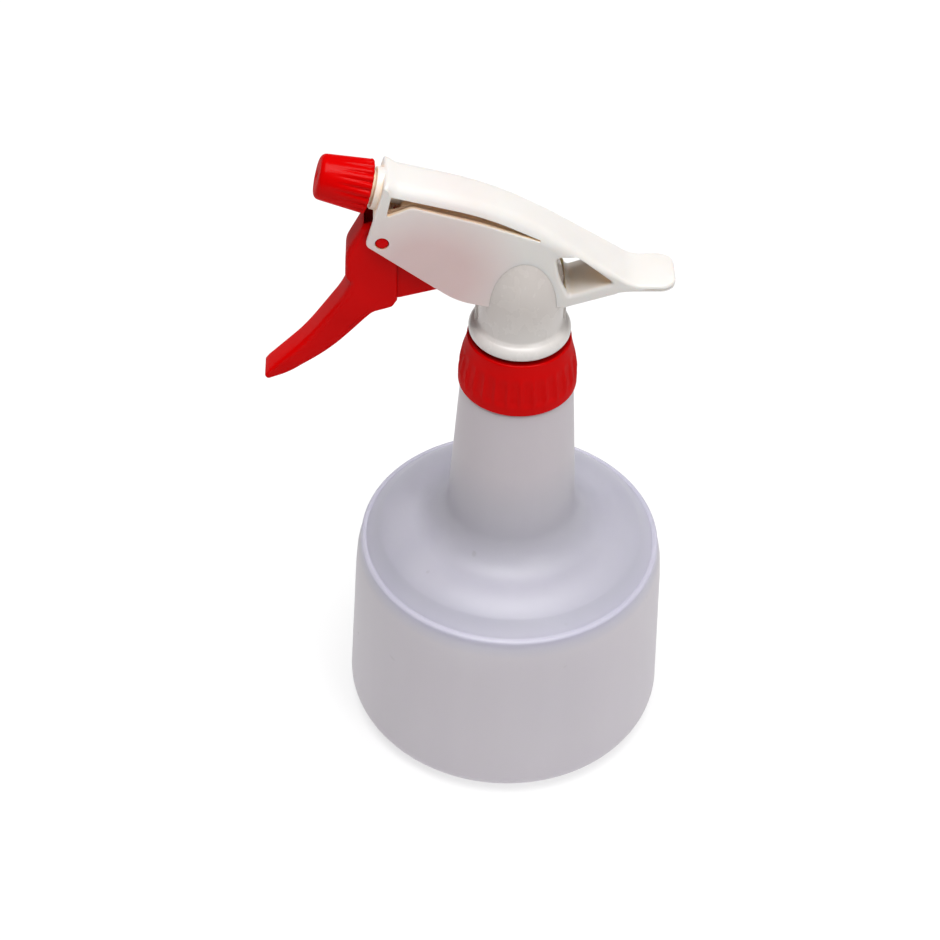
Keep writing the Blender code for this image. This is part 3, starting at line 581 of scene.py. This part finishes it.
NATURAL = natural_bottle()
# hollow here is painted shade: a darker red in the hollows of the collar, trigger and cap.
RED = moulded("red_polypropylene", (0.60, 0.0008, 0.0010), (0.54, 0.0005, 0.0006), 0.27,
              subsurface=0.1, radius=(1.0, 0.1, 0.08), scale=0.0012, specular=0.0,
              coat=0.11, hollow=(0.36, 0.0003, 0.0005))
# hollow here paints a warm tan into the shroud's slit, loop and other hollows: painted shade and a
# painted glow of light through the plastic. The patch paints a pink shade onto the side plates around
# the trigger's arms, standing in for shade and for the red trigger's light seen through them.
CREAM = moulded("cream_polypropylene", (0.74, 0.715, 0.69), (0.71, 0.685, 0.655), 0.30,
                subsurface=0.2, radius=(1.0, 0.7, 0.45), scale=0.002, specular=0.3,
                hollow=(1.0, 0.80, 0.57),
                painted_shade_patch=((-0.026, 0.0, 0.167), (0.90, 0.70, 0.71)))
# The patch paints shade onto the pump body's bell, fully within 13 mm of a point on its axis 163 mm up
# and fading out by 28 mm.
WHITE = moulded("white_polypropylene", (0.735, 0.715, 0.695), (0.725, 0.705, 0.685), 0.26,
                subsurface=0.15, radius=(1.0, 0.9, 0.8), scale=0.002, specular=0.4,
                painted_shade_patch=((0.0, 0.0, 0.163), (0.80, 0.76, 0.74)))
CLEAR = moulded("clear_polyethylene", (0.76, 0.78, 0.79), (0.70, 0.72, 0.73), 0.26,
                subsurface=0.4, radius=(1.0, 1.0, 1.0), scale=0.003)
RUBBER = moulded("grey_elastomer", (0.20, 0.20, 0.21), (0.15, 0.15, 0.16), 0.62)
STEEL = steel()


# ---- pieces ---------------------------------------------------------------------------------------
def bottle_outside():
    """From the mouth down the outside to the centre of the base."""
    sx, sz = SHOULDER_CENTRE
    tx = NECK_LOW[0] + NECK_FILLET
    points = [(FINISH_RADIUS - 0.5, MOUTH_Z), (FINISH_RADIUS - 0.15, MOUTH_Z - 0.15),
              (FINISH_RADIUS, MOUTH_Z - 0.5), (FINISH_RADIUS, NECK_SHELF_Z + 0.4)]
    points += arc(FINISH_RADIUS + 0.4, NECK_SHELF_Z + 0.4, 0.4, 180, 270, 4)[1:]
    points += arc(NECK_TOP[0] - 0.9, NECK_SHELF_Z - 0.9, 0.9, 90, 4, 7)
    points += [(NECK_TOP[0] + (NECK_LOW[0] - NECK_TOP[0]) * t,
                NECK_TOP[1] - 1.4 + (NECK_LOW[1] - NECK_TOP[1] + 1.4) * t)
               for t in (0.05, 0.2, 0.4, 0.6, 0.8, 0.95)]
    points += arc(tx, NECK_LOW[1], NECK_FILLET, 183, 270, 16)
    points += arc(sx, sz, SHOULDER_ROUND, 90, 54, 18)[1:]
    return points


def make_bottle():
    outside = bottle_outside()
    shoulder_end = outside[-1]
    bead_r, bead_z = BEAD
    wall_r, wall_z = WALL_TOP
    end_r, end_z = shoulder_end
    low_r, low_z = bead_r - 2.0, bead_z + 1.15
    band = [(end_r + (low_r - end_r) * t, end_z + (low_z - end_z) * t)
            for t in (0.05, 0.1, 0.5, 0.9, 1.0)]
    groove = [(bead_r - 1.85, bead_z + 0.95), (bead_r - 1.65, bead_z + 0.75),
              (bead_r - 1.4, bead_z + 0.72)]
    bead = arc(bead_r - 0.85, bead_z, 0.85, 112, 0, 11)
    waist = [(bead_r, bead_z - 0.5), (bead_r + 0.02, bead_z - 1.1), (bead_r + 0.14, bead_z - 1.7),
             (bead_r + 0.34, bead_z - 2.4), (bead_r + 0.58, bead_z - 3.2),
             (bead_r + 0.86, bead_z - 4.4), (bead_r + 1.1, bead_z - 5.8)]
    outside += band + groove + bead + waist
    corner_r = BASE_RADIUS - BASE_CORNER
    lean = [(wall_r + (BASE_RADIUS - wall_r) * t, wall_z + (BASE_CORNER - wall_z) * t)
            for t in (0.16, 0.3, 0.5, 0.7, 0.9)]
    outside += lean + arc(corner_r, BASE_CORNER, BASE_CORNER, 0, -88, 14)
    outside += [(34.0, 0.0), (32.8, 0.12), (31.8, 0.8), (30.4, 1.05), (20.0, 1.15), (15.4, 1.05),
                (14.2, 0.8), (13.0, 0.15), (12.0, 0.05), (0.0, 0.05)]
    sx, sz = SHOULDER_CENTRE
    inner = [(0.0, FLOOR_THICKNESS), (20.0, FLOOR_THICKNESS + 0.2)]
    inner += arc(corner_r, FLOOR_THICKNESS + BASE_CORNER - WALL, BASE_CORNER - WALL, -90, 0, 8)
    inner += [(wall_r - WALL, wall_z - 0.6)]
    inner += arc(sx, sz, SHOULDER_ROUND - WALL, 44, 90, 10)
    inner += arc(NECK_LOW[0] + NECK_FILLET, NECK_LOW[1], NECK_FILLET + WALL, 270, 183, 10)[1:]
    inner += [(NECK_TOP[0] - WALL, NECK_TOP[1] - 1.4), (MOUTH_RADIUS, NECK_SHELF_Z + 0.6),
              (MOUTH_RADIUS, MOUTH_Z - 0.3), (MOUTH_RADIUS + 0.3, MOUTH_Z)]
    bottle = lathe("bottle_shell", inner + outside)
    start = MOUTH_Z - 2.0 - THREAD_PITCH * 1.1
    ridge = thread("bottle_thread", FINISH_RADIUS, start, THREAD_PITCH * 1.1, 1.1, 0.9, 0.95)
    combine(bottle, [ridge], 'UNION')
    return piece(bottle, "bottle", NATURAL, replaces=["bottle"])


def window(z, low, high, fade):
    """1 between two heights, easing to 0 over the fade at each end."""
    rise = min(1.0, max(0.0, (z - low) / fade))
    fall = min(1.0, max(0.0, (high - z) / fade))
    return (3 - 2 * rise) * rise * rise * (3 - 2 * fall) * fall * fall


def collar_shift(angle, radius, z):
    """Narrow ribs left standing in a shallow band, pressed into the outer skin only."""
    if radius < COLLAR_BORE + 0.45:
        return radius
    rib = (0.5 + 0.5 * math.cos(COLLAR_FLUTES * angle)) ** 3
    fade = window(z, FLUTE_LOW, COLLAR_TOP_Z, 0.9) * window(z, COLLAR_BOTTOM_Z, FLUTE_HIGH, 4.0)
    return radius - COLLAR_FLUTE_DEPTH * (1 - rib) * fade


def make_collar():
    inside_top = COLLAR_TOP_Z - COLLAR_PLATE
    profile = [(COLLAR_HOLE, inside_top), (COLLAR_HOLE, COLLAR_TOP_Z - 0.2),
               (COLLAR_HOLE + 0.2, COLLAR_TOP_Z), (13.9, COLLAR_TOP_Z)]
    profile += arc(13.95, COLLAR_TOP_Z - 0.55, 0.55, 90, 10, 6)
    slope = [(14.58, 140.0), (14.75, 139.0), (14.95, 137.9)]
    slope += [(14.95 + (COLLAR_RADIUS - 0.1 - 14.95) * t,
               137.9 + (130.6 - 137.9) * t + 0.9 * math.sin(math.pi * t)) for t in
              (0.08, 0.16, 0.24, 0.34, 0.44, 0.54, 0.64, 0.74, 0.84, 0.92, 1.0)]
    profile += slope
    profile += [(COLLAR_RADIUS - 0.04, 130.0), (COLLAR_RADIUS, 129.3), (COLLAR_RADIUS, 128.6),
                (COLLAR_RADIUS, 127.6), (COLLAR_RADIUS, COLLAR_BOTTOM_Z + 0.6)]
    profile += arc(COLLAR_RADIUS - 0.5, COLLAR_BOTTOM_Z + 0.5, 0.5, 0, -90, 5)
    profile += [(COLLAR_BORE + 0.4, COLLAR_BOTTOM_Z), (COLLAR_BORE, COLLAR_BOTTOM_Z + 0.4),
                (COLLAR_BORE, inside_top)]
    collar = lathe("collar_shell", profile, shift=collar_shift, closed=True, around=COLLAR_FLUTES * 10)
    start = MOUTH_Z - 2.0 - THREAD_PITCH * 1.6
    ridge = thread("collar_thread", COLLAR_BORE, start, THREAD_PITCH * 1.5, 1.5, -0.85, 0.9)
    combine(collar, [ridge], 'UNION')
    return piece(collar, "collar", RED, replaces=["screw_collar"])


def bell_profile(extra=0.0, steps=24):
    angles = [math.radians(90 - 90 * i / (steps - 1)) for i in range(steps)]
    return [((BELL_RADIUS + extra) * math.cos(t), BELL_STRAIGHT_Z + (BELL_DOME + extra) * math.sin(t))
            for t in angles]


def make_pump_body():
    flange_z = (138.2, COLLAR_TOP_Z - COLLAR_PLATE - 0.3)
    spigot = COLLAR_HOLE - 0.4
    profile = bell_profile() + [(BELL_RADIUS, 152.0), (BELL_RADIUS, 148.6)]
    profile += arc(BELL_RADIUS + 1.0, 147.6, 1.0, 180, 235, 5)
    profile += arc(RIM_RADIUS, RIM_Z, RIM_ROUND, 72, -60, 16)
    profile += [(spigot, 141.7), (spigot, flange_z[1]), (12.3, flange_z[1]), (12.3, flange_z[0]),
                (0.0, flange_z[0])]
    body = lathe("pump_shell", profile)

    inner = [(r - 1.4, z) for r, z in bell_profile(steps=14)[:-1]]
    inner[0] = (0.0, BELL_STRAIGHT_Z + BELL_DOME - 1.4)
    inner = [(max(r, 0.0), min(z, inner[0][1])) for r, z in inner]
    inner += [(BELL_RADIUS - 1.4, BELL_STRAIGHT_Z), (BELL_RADIUS - 1.4, 145.0), (8.0, 142.0),
              (8.0, 137.0), (0.0, 137.0)]
    hollow = lathe("bell_hollow", inner, around=72)
    socket = rod("socket", (-20, 0, PUMP_Z), (6.1, 0, PUMP_Z), 7.4)
    column = rod("column", (0, 0, 136), (0, 0, 157), 6.3)
    top = along_nozzle(-28.6)
    riser = rod("riser", (0.8, 0, 166.0), (top[0], 0, top[1]), 3.0)
    combine(hollow, [socket, column, riser], 'DIFFERENCE')

    front, rear = along_nozzle(2.6), along_nozzle(-30.0)
    riser = rod("riser", (0.8, 0, 166.0), (top[0], 0, top[1]), 3.0)
    barrel = rod("barrel", (rear[0], 0, rear[1]), (front[0], 0, front[1]), 3.0)
    combine(body, [hollow], 'DIFFERENCE')
    ribs = [slab("parting_rib", eased([(side * (BELL_RADIUS - 0.6), 155.8, 0),
                                       (side * (BELL_RADIUS + 0.6), 155.6, 0.4),
                                       (side * (BELL_RADIUS + 0.7), 145.5, 0),
                                       (side * (BELL_RADIUS - 0.6), 145.5, 0)]), 0.6)
            for side in (-1, 1)]
    combine(body, [riser, barrel] + ribs, 'UNION')
    mouth, bore_end = along_nozzle(6.0), along_nozzle(-28.6)
    bores = [rod("socket_bore", (-20, 0, PUMP_Z), (4.7, 0, PUMP_Z), 6.2),
             rod("column_bore", (0, 0, 137), (0, 0, 152), 4.9),
             rod("inlet_port", (0, 0, 150), (0, 0, PUMP_Z), 1.2),
             rod("outlet_port", (1.9, 0, 164.5), (top[0], 0, top[1]), 1.2),
             rod("barrel_bore", (bore_end[0], 0, bore_end[1]), (mouth[0], 0, mouth[1]), 1.5)]
    combine(body, bores, 'DIFFERENCE')
    return piece(weld(body), "head", WHITE, replaces=["pump_body"])


def shroud_rounding(x, z):
    """The cover's long top edges are full rounds that tighten towards its front and its tail; the
    other edges of the side plates are only eased."""
    top = z > 196.0 - 0.53 * (x + 38) and x > -37.0
    tail = x > 25
    if tail:
        return 1.05
    if not top:
        return 0.55
    front = min(1.0, max(0.0, (x + 37.0) / 3.0))
    rear = min(1.0, max(0.0, (26.0 - x) / 24.0))
    return min(1.6 + (COVER_ROUND - 1.6) * front, 1.05 + (COVER_ROUND - 1.05) * rear)


def tail_share(x):
    """The tail's plan ends in two rounded corners."""
    inside = min(x - (SHROUD_HIGH.x - TAIL_CORNER), TAIL_CORNER)
    if inside <= 0:
        return 1.0
    return 1 - (TAIL_CORNER - math.sqrt(TAIL_CORNER ** 2 - inside ** 2)) / SHROUD_HALF


def make_shroud():
    outline = eased([(-37.1, 196.6, 1.6), (-4.8, 188.2, 110), (29.5, 163.7, 10), (41.2, 163.7, 1.15),
                     (41.2, 161.4, 1.15), (26.5, 161.4, 20), (11.2, 156.2, 0.8), (-9.0, 156.4, 0),
                     (-17.8, 158.4, 20), (-42.2, 177.2, 2.0)], per_corner=9)
    shroud = rounded_slab("shroud_shell", spaced(outline, 0.8), SHROUD_HALF, shroud_rounding)
    cavity = slab("cavity", eased([
        (-35.6, 196.2 - COVER_THICKNESS, 0), (-5.4, 188.2 - COVER_THICKNESS, 110), (15.2, 171.6, 0),
        (11.0, 160.5, 0), (11.0, 140.0, 0), (-60.0, 140.0, 0), (-60.0, 185.2, 0),
        (-38.0, 185.2, 0)]), CAVITY_HALF)
    spine = slab("spine", [along_nozzle(-2, -SPINE_HALF), along_nozzle(-2, 8),
                           along_nozzle(-43, 8), along_nozzle(-43, -SPINE_HALF)], SPINE_HALF)
    combine(cavity, [spine], 'DIFFERENCE')
    backing = slab("backing", eased([
        (-36.2, 184.7, 0), (-36.2, 195.0, 0), (-5.4, 187.0, 110), (12.0, 174.5, 0),
        (6.0, 174.5, 0), (-12.0, 180.6, 0), (-29.0, 184.6, 0)]), CAVITY_HALF - 0.9)
    shelf = slab("shelf", [(-37.5, 184.3), (-28.5, 184.3), (-28.5, 186.1), (-37.5, 186.1)],
                 CAVITY_HALF + 0.4)
    slit = rounded_slab("slit", spaced(eased([
        (-35.4, 193.0, 0.5), (-11.0, 186.6, 80), (4.0, 178.9, 0.15), (3.6, 178.6, 0.15),
        (-12.3, 184.5, 60), (-30.0, 189.7, 3), (-36.6, 186.7, 0.5)]), 1.5), SHROUD_HALF,
        lambda x, z: -0.45, beyond=2.0, steps=5)
    loop = rounded_slab("loop", spaced(eased([
        (8.2, 172.9, 1.4), (14.0, 173.0, 1.6), (24.0, 164.5, 0.7), (12.2, 160.1, 1.2),
        (9.5, 166.0, 20)]), 1.0), SHROUD_HALF, lambda x, z: -1.0, beyond=2.0)
    bell_space = lathe("bell_space", bell_profile(0.06) + [(BELL_RADIUS + 0.06, 140.0), (0.0, 140.0)],
                       around=96)
    rear, front = along_nozzle(-8.0), along_nozzle(4.0)
    nozzle_hole = rod("nozzle_hole", (rear[0], 0, rear[1]), (front[0], 0, front[1]), 5.1)
    back = along_nozzle(-31.0)
    barrel_space = rod("barrel_space", (back[0], 0, back[1]), (front[0], 0, front[1]), 3.15)
    top = along_nozzle(-28.6)
    riser_space = rod("riser_space", (0.8, 0, 166.0), (top[0], 0, top[1]), 3.15)
    pin_hole = rod("pin_hole", (PIVOT[0], -12, PIVOT[1]), (PIVOT[0], 12, PIVOT[1]),
                   PIN_RADIUS + 0.15)
    combine(shroud, [cavity], 'DIFFERENCE')
    combine(shroud, [backing], 'UNION')
    combine(shroud, [shelf], 'UNION')
    for tool in (slit, loop, bell_space, nozzle_hole, barrel_space, riser_space, pin_hole):
        combine(shroud, [tool], 'DIFFERENCE')
    narrow(weld(shroud), tail_share)
    return piece(shroud, "head", CREAM, replaces=["shroud"], sharp=38)


def make_trigger():
    outline = eased([(-33.6, 182.6, 3.5), (-42.2, 182.6, 4.5), (-47.3, 172.5, 9),
                     (-47.7, 163.9, 2.2), (-46.2, 162.3, 1.2), (-49.2, 156.0, 25),
                     (-58.6, 142.2, 70), (-69.2, 130.9, 1.6), (-70.4, 129.2, 0.9),
                     (-69.6, 127.9, 0.9), (-63.5, 130.2, 30), (-52.0, 138.7, 60),
                     (-40.3, 152.2, 5), (-35.0, 154.4, 1.4), (-33.7, 156.6, 1.0)])

    def leg_share(x):
        """The finger lever narrows towards its tip."""
        return 1 + (TRIGGER_TIP_HALF / TRIGGER_HALF - 1) * min(1, max(0, (x + 46) / -22))

    def rounding(x, z):
        tip = min(1, max(0, (x + 69) / 9))
        heel = min(1, max(0, (-36.5 - x) / 6)) if z < 168 else min(1, (z - 168) / 6)
        return 0.8 + 0.9 * tip * heel

    trigger = rounded_slab("trigger_shell", spaced(outline, 1.0), TRIGGER_HALF, rounding)
    channel = rounded_slab("channel", spaced(eased([
        (-30.0, 186.0, 0), (-41.0, 186.0, 0), (-45.8, 171.5, 9), (-45.0, 161.8, 1.5),
        (-48.0, 155.0, 30), (-60.5, 137.0, 0), (-54.0, 130.0, 0), (-30.0, 150.0, 0)]), 2.0),
        TRIGGER_HALF - TRIGGER_WALL, lambda x, z: 0.5, steps=3)
    combine(trigger, [channel], 'DIFFERENCE')
    narrow(weld(trigger), leg_share)

    arm = eased([(-38.5, 156.6, 0), (-33.0, 157.2, 0), (-22.6, 160.1, 0.7), (-21.9, 161.5, 0.8),
                 (-24.5, 164.8, 2), (-33.2, 171.2, 2), (-38.5, 172.0, 0)])
    additions = []
    for sign in (-1, 1):
        additions.append(slab("arm", arm, 0.5, place=sign * ARM_MIDDLE))
        pin = rod("pin", (PIVOT[0], sign * (TRIGGER_HALF - 0.7), PIVOT[1]),
                  (PIVOT[0], sign * (SHROUD_HALF - 0.15), PIVOT[1]), PIN_RADIUS)
        additions.append(soften(pin, 0.4, segments=3))
    additions.append(rod("pusher_bar", (-32.6, -ARM_MIDDLE, PUMP_Z), (-32.6, ARM_MIDDLE, PUMP_Z),
                         1.8))
    combine(trigger, additions, 'UNION')
    return piece(weld(trigger), "trigger", RED, replaces=["trigger"], sharp=38)


def cap_shift(angle, radius, z):
    """Fine flutes along the cap that fade out before its front edge."""
    if radius < 5.7:
        return radius
    groove = (0.5 - 0.5 * math.cos(CAP_FLUTES * angle)) ** 2.5
    fade = min(1.0, max(0.0, (CAP_FLUTE_END - z) / (CAP_FLUTE_END - 2.0)))
    return radius - CAP_FLUTE_DEPTH * groove * fade


def make_cap():
    front, rear, length = CAP_FRONT_RADIUS, CAP_REAR_RADIUS, CAP_LENGTH
    round_front = 1.7
    profile = [(0.9, length - 0.2), (1.2, length), (front - round_front - 0.4, length)]
    profile += arc(front - round_front, length - round_front, round_front, 86, 6, 10)
    slope = (rear - front) / (length - 2.0)
    steps = 12
    for i in range(steps + 1):
        s = (length - 2.2) + (CAP_REAR + 0.7 - (length - 2.2)) * i / steps
        profile.append((front + 0.02 + slope * (length - 1.7 - s), s))
    profile += arc(rear - 0.5, CAP_REAR + 0.55, 0.5, 20, -88, 6)
    profile += [(5.9, CAP_REAR), (5.6, CAP_REAR + 0.3), (5.4, 8.9), (3.9, 9.4), (3.9, 12.0),
                (0.5, 12.0), (0.5, 13.4), (0.8, 13.9)]
    cap = lathe("cap_shell", profile, shift=cap_shift, closed=True, around=CAP_FLUTES * 10)
    cap.data.transform(nozzle_frame())
    return piece(cap, "cap", RED, replaces=["nozzle_cap"])


def make_nozzle_base():
    ring = 5.7
    profile = [(2.6, 8.5), (4.1, 8.5), (4.4, 8.2), (4.4, 7.0), (3.7, 6.9), (3.7, 5.5), (4.4, 5.4),
               (4.4, 0.1), (4.6, -0.06), (ring - 0.35, -0.06)]
    profile += arc(ring - 0.3, -0.36, 0.3, 80, 0, 4)
    profile += [(ring, -1.5), (ring + 0.2, -2.0), (ring + 0.25, -2.4), (5.0, -2.5), (5.0, -4.0),
                (3.3, -4.0), (3.3, 2.9), (1.0, 2.9), (1.0, 3.9), (2.6, 3.9)]
    base = lathe("nozzle_ring", profile, closed=True, around=96)
    base.data.transform(nozzle_frame())
    return piece(base, "head", CREAM, replaces=["nozzle_base"])


def make_spring():
    """The return spring against the cylinder's closed end, its turns a little closer at each end."""
    count = SPRING_TURNS * 28
    curve = bpy.data.curves.new("spring_wire", 'CURVE')
    curve.dimensions = '3D'
    curve.bevel_depth = SPRING_WIRE * MM
    curve.bevel_resolution = 3
    curve.use_fill_caps = True
    spline = curve.splines.new('POLY')
    spline.points.add(count)
    low, high = SPRING_X
    for i, point in enumerate(spline.points):
        t = i / count
        angle = math.tau * SPRING_TURNS * t
        x = low + (high - low) * (t - math.sin(math.tau * t) * 0.09)
        point.co = (x * MM, SPRING_RADIUS * math.cos(angle) * MM,
                    (PUMP_Z + SPRING_RADIUS * math.sin(angle)) * MM, 1.0)
    wire = link("spring_wire", curve)
    bpy.context.view_layer.update()
    evaluated = wire.evaluated_get(bpy.context.evaluated_depsgraph_get())
    mesh = bpy.data.meshes.new_from_object(evaluated)
    bpy.data.objects.remove(wire)
    spring = piece(link("return_coil", mesh), "head", STEEL,
                   replaces=["return_spring"])
    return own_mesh(spring)


make_bottle()
make_collar()
make_pump_body()
make_shroud()
make_trigger()
make_cap()
make_nozzle_base()
make_spring()

# CAD nodes that keep their own shape, each with its finish.
CARRIED_OVER = {
    WHITE: ("pump_cylinder", "spinner"),
    CLEAR: ("piston", "valve_housing", "ball_retainer", "dip_tube"),
    RUBBER: ("closure_gasket", "piston_cup", "vent_seal", "outlet_valve", "nozzle_seal"),
    STEEL: ("inlet_ball",),
}
for material, names in CARRIED_OVER.items():
    for name in names:
        NODES[name].data.materials.clear()
        NODES[name].data.materials.append(material)

# ---- camera ---------------------------------------------------------------------------------------
AZIMUTH, ELEVATION, ROLL = math.radians(-3.0), math.radians(43.4), math.radians(1.847)
DISTANCE = 697.5
TARGET_RIGHT, TARGET_UP = -12.377, 88.69
LENS_PER_WIDTH = 2400 / 940      # focal length over the picture's width
SENSOR = 36.0


def make_camera():
    right = Vector((math.cos(AZIMUTH), math.sin(AZIMUTH), 0.0))
    forward = Vector((-math.sin(AZIMUTH) * math.cos(ELEVATION),
                      math.cos(AZIMUTH) * math.cos(ELEVATION), -math.sin(ELEVATION)))
    up = right.cross(forward)
    target = right * TARGET_RIGHT + Vector((0.0, 0.0, TARGET_UP))
    c, s = math.cos(ROLL), math.sin(ROLL)
    turned_right, turned_up = right * c + up * s, up * c - right * s
    data = bpy.data.cameras.new("camera")
    data.sensor_width = SENSOR
    data.lens = SENSOR * LENS_PER_WIDTH
    camera = link("camera", data)
    axes = Matrix((turned_right, turned_up, -forward)).transposed().to_4x4()
    camera.matrix_world = Matrix.Translation((target - forward * DISTANCE) * MM) @ axes
    scene.camera = camera


# ---- floor and light ------------------------------------------------------------------------------
def make_floor():
    builder = bmesh.new()
    bmesh.ops.create_circle(builder, cap_ends=True, segments=96, radius=6.0)
    mesh = bpy.data.meshes.new("floor")
    builder.to_mesh(mesh)
    builder.free()
    floor = link("floor", mesh)
    nodes = Nodes("studio_floor")
    paper = nodes.noise(8.0, detail=2.0)
    nodes.to("Base Color", nodes.ramp(paper, [(0.3, (0.28, 0.28, 0.28)), (0.7, (0.30, 0.30, 0.30))]))
    floor.data.materials.append(nodes.set(Roughness=0.9, Specular_IOR_Level=0.1,
                                          Emission_Color=(1.0, 1.0, 1.0, 1.0),
                                          Emission_Strength=0.66))


def soft_sun(name, strength, azimuth, elevation, spread, color=(1.0, 1.0, 1.0)):
    """A lamp at infinity with a wide disc, seen from the object at this azimuth and elevation."""
    data = bpy.data.lights.new(name, 'SUN')
    data.energy = strength
    data.angle = math.radians(spread)
    data.color = color
    lamp = link(name, data)
    a, e = math.radians(azimuth), math.radians(elevation)
    away = Vector((math.cos(a) * math.cos(e), math.sin(a) * math.cos(e), math.sin(e)))
    lamp.rotation_euler = away.to_track_quat('Z', 'Y').to_euler()


def make_world():
    world = bpy.data.worlds.new("studio")
    world.use_nodes = True
    tree = world.node_tree
    dim = tree.nodes["Background"]
    dim.inputs["Color"].default_value = (1.0, 1.0, 1.0, 1.0)
    dim.inputs["Strength"].default_value = 0.12
    backdrop = tree.nodes.new('ShaderNodeBackground')
    backdrop.inputs["Color"].default_value = (1.0, 1.0, 1.0, 1.0)
    seen = tree.nodes.new('ShaderNodeLightPath')
    mixed = tree.nodes.new('ShaderNodeMixShader')
    tree.links.new(seen.outputs["Is Camera Ray"], mixed.inputs["Fac"])
    tree.links.new(dim.outputs["Background"], mixed.inputs[1])
    tree.links.new(backdrop.outputs["Background"], mixed.inputs[2])
    tree.links.new(mixed.outputs["Shader"], tree.nodes["World Output"].inputs["Surface"])
    scene.world = world


make_camera()
make_floor()
make_world()
soft_sun("key", 0.6, -52.0, 46.0, 20.0)
soft_sun("overhead", 3.7, -75.0, 86.0, 46.0)
scene.view_settings.view_transform = 'Standard'
